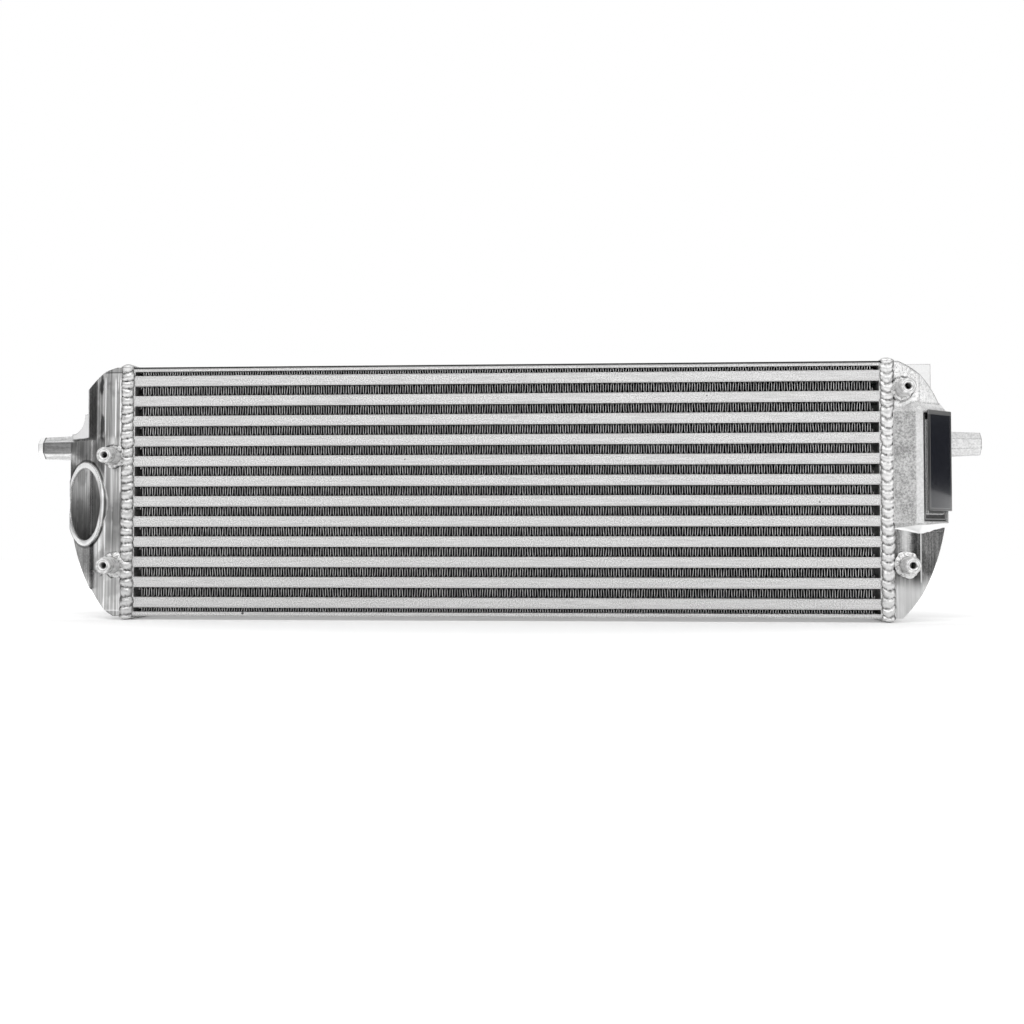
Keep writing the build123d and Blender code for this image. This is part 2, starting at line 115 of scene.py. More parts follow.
PAD_BOTTOM = 74.5 * MM              # the right pad at full thickness
PAD_TOP = 161.5 * MM
LEDGE_TOP_UP = 70.3 * MM            # ledge below the pad, at the joint
LEDGE_BOTTOM_UP = 69.7 * MM
DARK_REFLECTION_OUT = (19.5 * MM, 27.2 * MM)  # painted dark reflection: upright strip below the ledge
DARK_REFLECTION_UP = (24 * MM, 80 * MM)
SHINE_OUT = (11.5 * MM, 17 * MM)    # painted highlight patch inboard of it
SHINE_UP = (52 * MM, 76 * MM)
DARK_START_UP = (28 * MM, 38 * MM)  # the right facet is painted dark as shade from here up
FOOT_UP = (33 * MM, 20 * MM)        # and the foot is painted pale as light from here down
STRIP_OUT = (22.5 * MM, 28 * MM)    # pale strip of the pad beside the groove
CORNER_OUT = 26.9 * MM              # painted highlight line down the front's corner
CORNER_UP = (28 * MM, 71 * MM)
GROOVE_OUT = (28.6 * MM, 51.6 * MM)  # groove round the badge's seat
GROOVE_UP = (75.4 * MM, 160.6 * MM)
FRONT_ENDS = (24 * MM, 14 * MM)     # Y between which a casting turns plain

# ---------------------------------------------------------------- sizes of the looks
LEG_SPACING = 2.0 * MM              # legs of the rounded air fin
FIN_SHEET = 0.42 * MM
FIN_CROWN = 2.2 * MM                # height of one rounded turn
FIN_SWAY = 1.7 * MM                 # sideways wander of the fin's walls through the depth
FIN_STATIONS = (0.0, 0.012, 0.06, 0.2, 0.4, 0.6, 0.8, 0.94, 0.988, 1.0)
FIN_SHIFTS = (0.0, 0.0, 0.3, 1.0, -1.0, 1.0, -1.0, -0.3, 0.0, 0.0)
SHEET = 0.6 * MM                    # parting sheet
BEAD_PITCH = 7.0 * MM               # one ripple of a weld bead
BEAD_SHIFT = 1.0 * MM               # the beads spread a little over the castings
BEAD_STEPS = 8                      # rings per ripple
BEAD_SPANS = 16                     # quads across a bead
DINGS = (                           # small pits in the bars, painted dark as shade: centre, size
    ((-0.2066, CORE_FRONT, 0.0026), 1.3 * MM),
    ((0.2499, CORE_FRONT, 0.0907), 0.9 * MM),
    ((-0.0760, CORE_FRONT, 0.1252), 0.7 * MM),
    ((0.1630, CORE_FRONT, 0.1745), 0.7 * MM),
)
HIGHLIGHT_LINES = (                          # upright painted highlight lines on the left flat: out, from, to (up)
    (10.9 * MM, 144 * MM, 190 * MM),
    (6.9 * MM, 100 * MM, 192 * MM),
    (19.3 * MM, 147 * MM, 192 * MM),
    (19.3 * MM, 104 * MM, 122 * MM),
    (19.3 * MM, 52 * MM, 74 * MM),
    (19.3 * MM, 4 * MM, 29 * MM),
)
BLOTCHES = (                        # dark patches on the left casting: centre, size
    ((-0.3255, -0.0353, 0.1870), 5.0 * MM),
    ((-0.3240, -0.0365, 0.1530), 5.5 * MM),
)
BOSS_HOLE = 2.5 * MM                # radius
BOSS_RIM = 0.7 * MM                 # rounding of a boss's face
THREAD_PITCH = 1.0 * MM
THREAD_DEPTH = 16.0 * MM
CAST_ROUNDING = 0.9 * MM
BADGE_ROUNDING = 0.8 * MM
SHARP_ANGLE = 35.0                  # edges sharper than this many degrees are rounded


# ---------------------------------------------------------------- node graphs
def put(tree, kind, inputs=None, **settings):
    """Adds a shader node; an input is a plain value or another node's output socket."""
    node = tree.nodes.new(kind)
    for key, value in settings.items():
        setattr(node, key, value)
    for key, value in (inputs or {}).items():
        if isinstance(value, bpy.types.NodeSocket):
            tree.links.new(value, node.inputs[key])
        else:
            node.inputs[key].default_value = value
    return node


def math_node(tree, operation, first, second=0.0):
    return put(tree, "ShaderNodeMath", {0: first, 1: second}, operation=operation).outputs[0]


def plus(tree, first, second):
    return math_node(tree, "ADD", first, second)


def minus(tree, first, second):
    return math_node(tree, "SUBTRACT", first, second)


def times(tree, first, second):
    return math_node(tree, "MULTIPLY", first, second)


def greatest(tree, first, second):
    return math_node(tree, "MAXIMUM", first, second)


def vector_node(tree, operation, first, second=(0.0, 0.0, 0.0)):
    """A vector, or a number where the operation gives one."""
    made = put(tree, "ShaderNodeVectorMath", {0: first, 1: second}, operation=operation)
    is_scalar = operation in ("LENGTH", "DISTANCE", "DOT_PRODUCT")
    return made.outputs["Value" if is_scalar else "Vector"]


def axes(tree, vector):
    """The vector's X, Y and Z."""
    return put(tree, "ShaderNodeSeparateXYZ", {0: vector}).outputs


def remap(tree, value, start, end, low_out=0.0, high_out=1.0):
    """Smooth step from start to end."""
    values = {"Value": value, 1: start, 2: end, 3: low_out, 4: high_out}
    return put(tree, "ShaderNodeMapRange", values, interpolation_type="SMOOTHSTEP").outputs[0]


def place(tree):
    """Position in the piece's own frame."""
    return put(tree, "ShaderNodeTexCoord").outputs["Object"]


def stretched(tree, vector, scale):
    return put(tree, "ShaderNodeMapping", {"Vector": vector, "Scale": scale}).outputs[0]


def grain(tree, vector, scale, detail=4.0, roughness=0.55):
    values = {"Vector": vector, "Scale": scale, "Detail": detail, "Roughness": roughness}
    return put(tree, "ShaderNodeTexNoise", values).outputs["Fac"]


def is_number(value):
    return isinstance(value, (int, float)) or getattr(value, "type", "") == "VALUE"


def between(tree, factor, first, second):
    """Two colours or two numbers mixed by a factor."""
    values = {"Factor": factor}
    if is_number(first) and is_number(second):
        values.update({2: first, 3: second})
        return put(tree, "ShaderNodeMix", values, data_type="FLOAT").outputs[0]
    values.update({6: first, 7: second})
    return put(tree, "ShaderNodeMix", values, data_type="RGBA").outputs[2]


def grey(value, warmth=0.0):
    """Grey, redder the warmer it is."""
    return (value * (1 + warmth), value, value * (1 - warmth), 1.0)


def bump(tree, height, strength, distance, normal=None):
    values = {"Height": height, "Strength": strength, "Distance": distance}
    if normal is not None:
        values["Normal"] = normal
    return put(tree, "ShaderNodeBump", values).outputs[0]


def material(name):
    made = bpy.data.materials.new(name)
    made.use_nodes = True
    tree = made.node_tree
    tree.nodes.clear()
    shader = put(tree, "ShaderNodeBsdfPrincipled")
    output = put(tree, "ShaderNodeOutputMaterial")
    tree.links.new(shader.outputs[0], output.inputs[0])
    return made, tree, shader


def wire(tree, shader, colour, roughness, normal, metallic=1.0):
    tree.links.new(colour, shader.inputs["Base Color"])
    tree.links.new(roughness, shader.inputs["Roughness"])
    tree.links.new(normal, shader.inputs["Normal"])
    shader.inputs["Metallic"].default_value = metallic


# ---------------------------------------------------------------- materials
def crevice_shade(tree, distance):
    """Ambient occlusion for painted shade: 1 in the open, towards 0 in corners and gaps."""
    shade = put(tree, "ShaderNodeAmbientOcclusion", {"Distance": distance}, samples=4).outputs["AO"]
    return remap(tree, shade, 0.25, 0.85)


def shaded(tree, colour, mask, factor):
    """Colour times the factor where the mask is 1."""
    tint = between(tree, mask, grey(1.0), grey(factor))
    values = {"Factor": 1.0, 6: colour, 7: tint}
    return put(tree, "ShaderNodeMix", values, data_type="RGBA", blend_type="MULTIPLY").outputs[2]


def flipped(tree, mask):
    return minus(tree, 1.0, mask)


def near(tree, value, level, reach):
    """1 at the level, 0 beyond the reach."""
    gap = math_node(tree, "ABSOLUTE", minus(tree, value, level))
    return remap(tree, gap, reach * 0.3, reach, 1.0, 0.0)


def band(tree, value, start, end, soft):
    """1 from start to end, with soft edges."""
    rise = remap(tree, value, start - soft, start + soft)
    fall = remap(tree, value, end - soft, end + soft, 1.0, 0.0)
    return times(tree, rise, fall)


def both(tree, *masks):
    """Product of masks or strengths."""
    result = masks[0]
    for mask in masks[1:]:
        result = times(tree, result, mask)
    return result


def peened(tree, scale):
    """1 on the raised grain of a hammered surface."""
    return remap(tree, grain(tree, place(tree), scale, 4.0, 0.75), 0.44, 0.58)


def bar_metal():
    """Mill-finish bars: sandy and streaked along X, with the parting sheets' edges as fine lines."""
    made, tree, shader = material("core_bar_metal")
    spot = place(tree)
    streak = grain(tree, stretched(tree, spot, (45.0, 300.0, 800.0)), 1.0, 5.0)
    patch = grain(tree, stretched(tree, spot, (25.0, 60.0, 110.0)), 1.0, 3.0)
    speckle = minus(tree, grain(tree, spot, 1100.0, 3.0, 0.8), 0.5)
    parts = axes(tree, spot)
    height = parts[2]
    depth = math_node(tree, "ABSOLUTE", parts[1])
    on_face = remap(tree, depth, CORE_REAR - 0.4 * MM, CORE_REAR - 0.2 * MM)
    turn = math_node(tree, "MODULO", minus(tree, height, TUBE_START), TUBE_PITCH)
    line_reach = 0.34 * MM
    lower = near(tree, turn, SHEET, line_reach)
    upper = near(tree, turn, TUBE_HEIGHT - SHEET, line_reach)
    worn = times(tree, greatest(tree, lower, upper), remap(tree, streak, 0.38, 0.6, 0.2, 0.8))
    grit = times(tree, speckle, remap(tree, patch, 0.44, 0.56, 0.25, 1.0))
    tone = plus(tree, plus(tree, times(tree, streak, 0.5), 0.25), times(tree, grit, 4.2))
    colour = between(tree, remap(tree, tone, 0.26, 0.70), grey(0.50, 0.004), grey(0.80, 0.003))
    colour = between(tree, times(tree, worn, 0.7), colour, grey(0.26, 0.006))
    # painted shade: dark lines along the top and bottom edges of the bar faces
    low_rim_shade = both(tree, near(tree, height, 0.0, 1.6 * MM), 0.3)
    rim_shade = greatest(tree, near(tree, height, CORE_TOP, 2.2 * MM), low_rim_shade)
    colour = between(tree, both(tree, rim_shade, on_face), colour, grey(0.03))
    relief = minus(tree, times(tree, tone, 0.8), worn)
    for centre, size in DINGS:
        away = vector_node(tree, "DISTANCE", spot, centre)
        away = plus(tree, away, times(tree, speckle, size * 1.6))
        pit = remap(tree, away, size, size * 0.5)
        # painted shade in each pit, over its real dent in the relief
        colour = shaded(tree, colour, pit, 0.16)
        relief = minus(tree, relief, pit)
    wire(tree, shader, colour, between(tree, tone, 0.44, 0.56), bump(tree, relief, 0.4, 0.2 * MM))
    return made


def fin_metal():
    """Thin sheet: bright cut edges at both faces of the core; inside it is matte and painted near
    black as shade.
    """
    made, tree, shader = material("air_fin_metal")
    spot = place(tree)
    mottle = grain(tree, spot, 160.0, 3.0)
    edge = put(tree, "ShaderNodeAttribute", attribute_name="edge").outputs["Fac"]
    edge = remap(tree, edge, 0.05, 1.0)
    bright = between(tree, remap(tree, mottle, 0.35, 0.65), grey(0.40, 0.004), grey(0.70, 0.003))
    # painted shade: the sheet inside the core is near black, its edges at the faces keep the metal's
    # colour
    colour = between(tree, edge, grey(0.020), bright)
    roughness = between(tree, edge, 0.85, 0.50)
    wire(tree, shader, colour, roughness, bump(tree, mottle, 0.2, 0.05 * MM))
    tree.links.new(edge, shader.inputs["Metallic"])
    shader.inputs["Specular IOR Level"].default_value = 0.12
    return made


def inner_metal():
    """Dull sheet of the turbulators."""
    made, tree, shader = material("turbulator_metal")
    spot = place(tree)
    mottle = grain(tree, spot, 160.0, 3.0)
    colour = between(tree, remap(tree, mottle, 0.35, 0.65), grey(0.34, 0.01), grey(0.56, 0.01))
    wire(tree, shader, colour, between(tree, mottle, 0.36, 0.55), bump(tree, mottle, 0.2, 0.05 * MM))
    return made


def brushed(tree, spot):
    """Colour, roughness and relief of linished casting: upright streaks and a few bright lines."""
    streak = grain(tree, stretched(tree, spot, (520.0, 520.0, 10.0)), 1.0, 6.0)
    line = near(tree, grain(tree, stretched(tree, spot, (330.0, 330.0, 4.0)), 1.0, 2.0), 0.5, 0.018)
    blotch = grain(tree, spot, 45.0, 3.0, 0.55)
    colour = between(tree, remap(tree, streak, 0.34, 0.66), grey(0.40, 0.004), grey(0.76, 0.003))
    colour = shaded(tree, colour, remap(tree, blotch, 0.56, 0.42), 0.72)
    colour = between(tree, both(tree, line, remap(tree, blotch, 0.40, 0.50)), colour, grey(0.95))
    roughness = between(tree, blotch, 0.42, 0.24)
    return colour, roughness, times(tree, streak, 0.6)


def sandy_cast(tree, spot, dark, light):
    """Colour, roughness and relief of the untouched casting skin."""
    pebble = grain(tree, spot, 620.0, 5.0, 0.8)
    patch = grain(tree, spot, 60.0, 3.0)
    tone = plus(tree, times(tree, pebble, 0.7), times(tree, patch, 0.3))
    tone = remap(tree, tone, 0.38, 0.60)
    colour = between(tree, tone, grey(dark, 0.003), grey(light, 0.002))
    return colour, between(tree, pebble, 0.68, 0.50), times(tree, pebble, 1.3)


def left_zones(tree, colour, roughness, out, height, ragged):
    """How each region of the left casting came out: colour with painted light and shade, roughness and
    highlight matte.
    """
    even = plus(tree, height, times(tree, ragged, 0.15))
    height = plus(tree, height, ragged)
    flat = remap(tree, out, LEFT_FLAT - 0.5 * MM, LEFT_FLAT + 0.5 * MM, 1.0, 0.0)
    # painted shade on the left flat
    colour = shaded(tree, colour, both(tree, flat, band(tree, height, *FLAT_SHADE_UP, 9 * MM)), 0.60)
    colour = shaded(tree, colour, both(tree, flat, remap(tree, height, *FLAT_HIGH_UP)), 0.66)
    highlight_matte = 0.0
    # painted highlight lines, made less metallic
    for line_out, start, end in HIGHLIGHT_LINES:
        upright = band(tree, height, start, end, 3 * MM)
        highlight_line = both(tree, near(tree, out, line_out, 0.7 * MM), upright)
        colour = between(tree, both(tree, highlight_line, 0.9), colour, grey(0.98))
        highlight_matte = greatest(tree, highlight_matte, both(tree, highlight_line, 0.5))
    # painted shade on the lower facet
    low_facet = band(tree, height, *LOW_FACET_UP, 8 * MM)
    low_facet = both(tree, remap(tree, out, *LOW_FACET_OUT), low_facet)
    colour = shaded(tree, colour, low_facet, 0.34)
    above_field = remap(tree, height, *FIELD_EDGE_UP)
    satin = both(tree, band(tree, out, *SATIN_OUT, 1.2 * MM), above_field)
    roughness = between(tree, satin, roughness, 0.60)
    # painted shade outboard above the field; pitted grain in all painted shade
    outer = both(tree, remap(tree, out, *SHADE_OUT), above_field)
    colour = shaded(tree, colour, outer, 0.62)
    painted_dark = greatest(tree, outer, low_facet)
    colour = shaded(tree, colour, both(tree, painted_dark, peened(tree, 620.0)), 0.62)
    # painted highlight on the shoulder
    shoulder = both(tree, remap(tree, out, *SHOULDER_OUT), remap(tree, even, *SHOULDER_UP))
    colour = between(tree, both(tree, shoulder, 0.9), colour, grey(0.97))
    roughness = between(tree, shoulder, roughness, 0.75)
    # painted shade where the flat turns over to the top
    over = remap(tree, even, CREST_UP - 0.5 * MM, CREST_UP + 0.5 * MM)
    colour = shaded(tree, colour, both(tree, flat, over), 0.7)
    colour = shaded(tree, colour, both(tree, flat, near(tree, even, CREST_UP, 0.8 * MM)), 0.4)
    # painted shade below the lip and a painted highlight line on it
    under = remap(tree, even, LIP_UP, LIP_UP - 1 * MM)
    colour = shaded(tree, colour, both(tree, flat, under), 0.72)
    lip = both(tree, flat, near(tree, even, LIP_UP, 0.9 * MM))
    colour = between(tree, both(tree, lip, 0.4), colour, grey(0.98))
    return ring_zone(tree, colour, roughness, highlight_matte, out, even)


def ring_zone(tree, colour, roughness, highlight_matte, out, height):
    """The cast ring: painted highlights, most of all at its ends, round a darker middle, with a
    painted shadow outside.
    """
    across = times(tree, minus(tree, out, RING_OUT), math.sqrt(2))
    rise = minus(tree, height, RING_UP)
    from_centre = put(tree, "ShaderNodeCombineXYZ", {0: across, 1: rise, 2: 0.0}).outputs[0]
    radius = vector_node(tree, "LENGTH", from_centre)
    middle = remap(tree, radius, RING_INNER + 0.1 * MM, RING_INNER - 0.7 * MM)
    colour = shaded(tree, colour, middle, 0.50)
    # painted highlights on the ring and its rim, strongest at its ends
    ring = band(tree, radius, RING_INNER + 0.3 * MM, RING_OUTER - 0.3 * MM, 0.5 * MM)
    ends = remap(tree, math_node(tree, "ABSOLUTE", rise), 12 * MM, 26 * MM, 0.30, 0.85)
    colour = between(tree, both(tree, ring, ends), colour, grey(0.95))
    rim = near(tree, radius, RING_OUTER - 0.5 * MM, 0.8 * MM)
    colour = between(tree, both(tree, rim, 0.7), colour, grey(0.95))
    roughness = between(tree, ring, roughness, 0.5)
    upper = remap(tree, rise, -8 * MM, 20 * MM, 0.25, 0.75)
    highlight_matte = greatest(tree, highlight_matte, both(tree, ring, ends, upper))
    # painted shadow just outside the ring
    shadow = band(tree, radius, RING_OUTER + 0.4 * MM, RING_OUTER + 2.1 * MM, 0.6 * MM)
    return shaded(tree, colour, shadow, 0.28), roughness, highlight_matte


def right_zones(tree, colour, roughness, out, height, ragged):
    """The right casting: painted shade where it curves back below the pad, painted light at the
    foot, on the ledge and on the facets above the pad. Gives colour, roughness and highlight matte.
    """
    inner = remap(tree, out, 4 * MM, RIGHT_FLAT - 0.5 * MM)
    outer = remap(tree, out, RIGHT_FLAT - 0.5 * MM, 50 * MM)
    crest = plus(tree, times(tree, inner, 2.5 * MM), times(tree, outer, 1.5 * MM))
    above_crest = minus(tree, minus(tree, height, crest), LEDGE_TOP_UP)
    sag = plus(tree, times(tree, inner, -3.4 * MM), times(tree, outer, 4.4 * MM))
    above_sag = minus(tree, minus(tree, height, sag), LEDGE_BOTTOM_UP)
    above_sag = plus(tree, above_sag, times(tree, ragged, 0.25))
    below = remap(tree, above_sag, 0.3 * MM, -0.3 * MM)
    ledge = both(tree, flipped(tree, below), remap(tree, above_crest, 0.3 * MM, -0.3 * MM))
    # painted shade on the flat below the ledge, deepest in a painted dark reflection strip
    flat = remap(tree, out, RIGHT_FLAT - 0.5 * MM, RIGHT_FLAT + 0.5 * MM, 1.0, 0.0)
    colour = shaded(tree, colour, both(tree, below, flat), 0.55)
    dark_reflection = both(tree, band(tree, out, *DARK_REFLECTION_OUT, 1.6 * MM), band(tree, height, *DARK_REFLECTION_UP, 7 * MM))
    colour = shaded(tree, colour, both(tree, below, dark_reflection), 0.32)
    # painted shade on the facet below the ledge, with pitted grain
    facet = both(tree, below, flipped(tree, flat))
    rugged = plus(tree, height, times(tree, ragged, 1.5))
    painted_dark = remap(tree, rugged, *DARK_START_UP)
    colour = shaded(tree, colour, both(tree, facet, painted_dark), 0.40)
    colour = shaded(tree, colour, facet, 0.70)
    colour = shaded(tree, colour, both(tree, below, painted_dark, peened(tree, 560.0)), 0.55)
    # painted light: highlight patch, pale foot and pale ledge
    shine = both(tree, band(tree, out, *SHINE_OUT, 3 * MM), band(tree, rugged, *SHINE_UP, 5 * MM))
    foot = both(tree, remap(tree, height, *FOOT_UP), 0.5)
    pale = greatest(tree, both(tree, below, shine, 0.55), foot)
    pale = greatest(tree, pale, ledge)
    colour = between(tree, pale, colour, grey(0.93))
    roughness = between(tree, pale, roughness, 0.55)
    # painted light on the facets above the pad
    above_pad = remap(tree, height, PAD_TOP + 1 * MM, PAD_TOP + 6 * MM)
    crown = both(tree, flipped(tree, flat), above_pad)
    colour = between(tree, both(tree, crown, 0.4), colour, grey(1.0))
    roughness = between(tree, crown, roughness, 0.85)
    on_pad = band(tree, height, PAD_BOTTOM, PAD_TOP, 1 * MM)
    strip = both(tree, band(tree, out, *STRIP_OUT, 0.8 * MM), on_pad)
    colour = between(tree, both(tree, strip, 0.55), colour, grey(0.85))
    colour = groove_zone(tree, colour, out, height)
    # painted highlight line down the front's corner, less metallic
    corner = both(tree, near(tree, out, CORNER_OUT, 0.7 * MM), band(tree, rugged, *CORNER_UP, 2 * MM))
    corner = both(tree, below, corner)
    colour = between(tree, both(tree, corner, 0.6), colour, grey(0.95))
    return colour, roughness, both(tree, corner, 0.45)


def groove_window(tree, out, height, inset, soft):
    """1 inside the groove's outline drawn in by the inset; both are given as (out, up)."""
    wide = band(tree, out, GROOVE_OUT[0] + inset[0], GROOVE_OUT[1] - inset[0], soft[0])
    tall = band(tree, height, GROOVE_UP[0] + inset[1], GROOVE_UP[1] - inset[1], soft[1])
    return both(tree, wide, tall)


def groove_zone(tree, colour, out, height):
    """Painted shade in the groove round the badge's seat, with a thin painted highlight frame in it.
    """
    groove = groove_window(tree, out, height, (0.0, 0.0), (0.4 * MM, 0.5 * MM))
    colour = shaded(tree, colour, groove, 0.20)
    fine = (0.15 * MM, 0.15 * MM)
    outline = groove_window(tree, out, height, (1.4 * MM, 1.6 * MM), fine)
    inline = groove_window(tree, out, height, (2.1 * MM, 2.4 * MM), fine)
    return between(tree, both(tree, minus(tree, outline, inline), 0.7), colour, grey(0.55))


def weld_toe_line(tree, spot, boss, ragged):
    """Broken dark line where the weld round a boss meets the casting."""
    centre = (Vector(low(boss)) + Vector(high(boss))) / 2
    away = vector_node(tree, "SUBTRACT", spot, centre)
    radius = vector_node(tree, "LENGTH", vector_node(tree, "MULTIPLY", away, (1.0, 0.0, 1.0)))
    radius = plus(tree, radius, times(tree, ragged, 0.9))
    broken = remap(tree, grain(tree, spot, 75.0, 2.0), 0.42, 0.52)
    return both(tree, near(tree, radius, 9.6 * MM, 1.1 * MM), broken)


def right_skin(tree, spot, height, front, linished):
    """Untouched skin from the pad up, paler and cracked above it."""
    pad = sandy_cast(tree, spot, 0.27, 0.63)
    top_colour, top_roughness, top_relief = sandy_cast(tree, spot, 0.70, 0.99)
    crack = near(tree, grain(tree, spot, 190.0, 5.0, 0.7), 0.5, 0.022)
    crack = both(tree, crack, remap(tree, top_relief, 0.45, 0.7))
    top_colour = shaded(tree, top_colour, crack, 0.40)
    top_colour = between(tree, both(tree, flipped(tree, front), 0.8), top_colour, grey(0.93))
    above = remap(tree, height, PAD_TOP - 1 * MM, PAD_TOP + 1 * MM)
    skin = remap(tree, height, PAD_BOTTOM - 8 * MM, PAD_BOTTOM - 7 * MM)
    look = []
    for plain, mid, top in zip(linished, pad, (top_colour, top_roughness, top_relief)):
        look.append(between(tree, skin, plain, between(tree, above, mid, top)))
    return look


def left_peg(tree, colour, spot, out, height):
    """Turned peg: its front facet painted dark as shade, outlined in painted shade, and a pale tip."""
    turning = grain(tree, stretched(tree, spot, (60.0, 500.0, 500.0)), 1.0, 4.0)
    plain = between(tree, remap(tree, turning, 0.35, 0.65), grey(0.58), grey(0.84))
    # painted shade on the front facet
    facet = band(tree, height, PEG_UP - 4 * MM, PEG_UP + 4 * MM, 0.3 * MM)
    plain = shaded(tree, plain, facet, 0.42)
    plain = shaded(tree, plain, peened(tree, 620.0), 0.80)
    tip = remap(tree, out, LEFT_TIP_OUT - 0.4 * MM, LEFT_TIP_OUT + 0.4 * MM)
    plain = between(tree, tip, plain, grey(0.93))
    upper = near(tree, height, PEG_UP + 4.3 * MM, 0.8 * MM)
    lower = near(tree, height, PEG_UP - 4.4 * MM, 0.8 * MM)
    outline = greatest(tree, upper, lower)
    outline = greatest(tree, outline, near(tree, out, LEFT_TIP_OUT - 0.6 * MM, 0.9 * MM))
    before_tip = remap(tree, out, LEFT_TIP_OUT + 0.6 * MM, LEFT_TIP_OUT - 0.2 * MM)
    plain = shaded(tree, plain, both(tree, outline, before_tip), 0.35)
    return between(tree, remap(tree, out, 62 * MM, 65 * MM), colour, plain)


def blotched(tree, colour, spot, ragged):
    for centre, size in BLOTCHES:
        gap = vector_node(tree, "SUBTRACT", spot, centre)
        away = vector_node(tree, "LENGTH", stretched(tree, gap, (1.0, 1.0, 0.4)))
        dark_patch = remap(tree, plus(tree, away, ragged), size, size * 0.4)
        colour = shaded(tree, colour, dark_patch, 0.16)
    return colour


def right_peg(tree, colour, out, relief, edge):
    plain = between(tree, remap(tree, relief, 0.5, 0.8), grey(0.62), grey(0.84))
    # painted shade: dark outlines on the peg's edges
    plain = shaded(tree, plain, edge, 0.28)
    return between(tree, remap(tree, out, 56 * MM, 58 * MM), colour, plain)


def crown_outline(tree, colour, out, height, front, facing):
    """Painted shade: a dark line round the right crown, except at the front's corner."""
    wide = put(tree, "ShaderNodeBevel", {"Radius": 2.4 * MM}, samples=4).outputs[0]
    turn = remap(tree, vector_node(tree, "DOT_PRODUCT", wide, facing), 0.985, 0.93)
    above_pad = remap(tree, height, PAD_TOP + 5 * MM, PAD_TOP + 8 * MM)
    off_corner = flipped(tree, near(tree, out, RIGHT_FLAT, 4 * MM))
    return shaded(tree, colour, both(tree, front, above_pad, off_corner, turn), 0.50)


def cast_metal(side):
    """A casting, linished to satin at the front and plainer behind; the right one keeps its
    skin from the pad up. Edges are where the rounded and the true normal part: lit edges are
    painted as highlights, the others painted dark as shade. Painted highlights are less metallic.
    """
    made, tree, shader = material(f"{side}_cast_metal")
    spot = place(tree)
    parts = axes(tree, spot)
    height = parts[2]
    ragged = times(tree, minus(tree, grain(tree, spot, 130.0, 3.0), 0.5), 7 * MM)
    front = remap(tree, parts[1], *FRONT_ENDS)
    look = brushed(tree, spot)
    if side == "right":
        look = right_skin(tree, spot, height, front, look)
    colour, roughness, relief = look
    rounded = put(tree, "ShaderNodeBevel", {"Radius": 1.3 * MM}, samples=4).outputs[0]
    facing = put(tree, "ShaderNodeNewGeometry").outputs["True Normal"]
    edge = remap(tree, vector_node(tree, "DOT_PRODUCT", rounded, facing), 0.975, 0.86)
    upward = remap(tree, axes(tree, facing)[2], 0.4, 0.8)
    colour = between(tree, both(tree, upward, 0.8), colour, grey(0.64))
    out = minus(tree, times(tree, parts[0], SIDES[side]), CORE_END)
    zones = left_zones if side == "left" else right_zones
    front_colour, front_roughness, highlight_matte = zones(tree, colour, roughness, out, height, ragged)
    colour = between(tree, front, between(tree, 0.45, colour, grey(0.64)), front_colour)
    roughness = between(tree, front, roughness, front_roughness)
    # painted shade in corners and gaps
    colour = shaded(tree, colour, flipped(tree, crevice_shade(tree, 3.0 * MM)), 0.24)
    for name in BOSS_NAMES:
        if name.startswith(side):
            # dark broken line at the weld's toe round each boss
            toe_line = weld_toe_line(tree, spot, name, ragged)
            colour = shaded(tree, colour, both(tree, front, toe_line), 0.30)
    # painted highlight on lit edges, painted shade as dark outlines on the others
    if side == "left":
        lit = greatest(tree, near(tree, out, LEFT_FLAT, 3 * MM), flipped(tree, front))
    else:
        lit = remap(tree, height, PAD_TOP + 5 * MM, PAD_TOP + 2 * MM)
    colour = between(tree, both(tree, edge, lit, 0.8), colour, grey(0.98))
    highlight_matte = both(tree, front, greatest(tree, highlight_matte, both(tree, edge, lit, 0.6)))
    faint = between(tree, front, 0.4, 1.0)
    colour = shaded(tree, colour, both(tree, edge, flipped(tree, lit), faint), 0.30)
    if side == "left":
        colour = left_peg(tree, colour, spot, out, height)
        colour = blotched(tree, colour, spot, ragged)
    else:
        colour = right_peg(tree, colour, out, relief, edge)
        colour = crown_outline(tree, colour, out, height, front, facing)
    wire(tree, shader, colour, roughness, bump(tree, relief, 0.35, 0.18 * MM, rounded))
    tree.links.new(flipped(tree, highlight_matte), shader.inputs["Metallic"])
    return made


def weld_metal(name, valley, top):
    """Crests painted bright as highlights and valleys painted dark as shade, told apart by the height
    stored on the bead.
    """
    made, tree, shader = material(name)
    spot = place(tree)
    crest = put(tree, "ShaderNodeAttribute", attribute_name="crest").outputs["Fac"]
    mottle = grain(tree, spot, 420.0, 4.0, 0.65)
    level = plus(tree, crest, times(tree, minus(tree, mottle, 0.5), 1.9))
    level = remap(tree, level, 0.0, 0.95)
    colour = between(tree, level, grey(valley, 0.006), grey(top, 0.003))
    # painted shade in corners and gaps
    colour = shaded(tree, colour, flipped(tree, crevice_shade(tree, 1.6 * MM)), 0.34)
    roughness = between(tree, mottle, 0.26, 0.48)
    wire(tree, shader, colour, roughness, bump(tree, mottle, 0.5, 0.25 * MM))
    return made


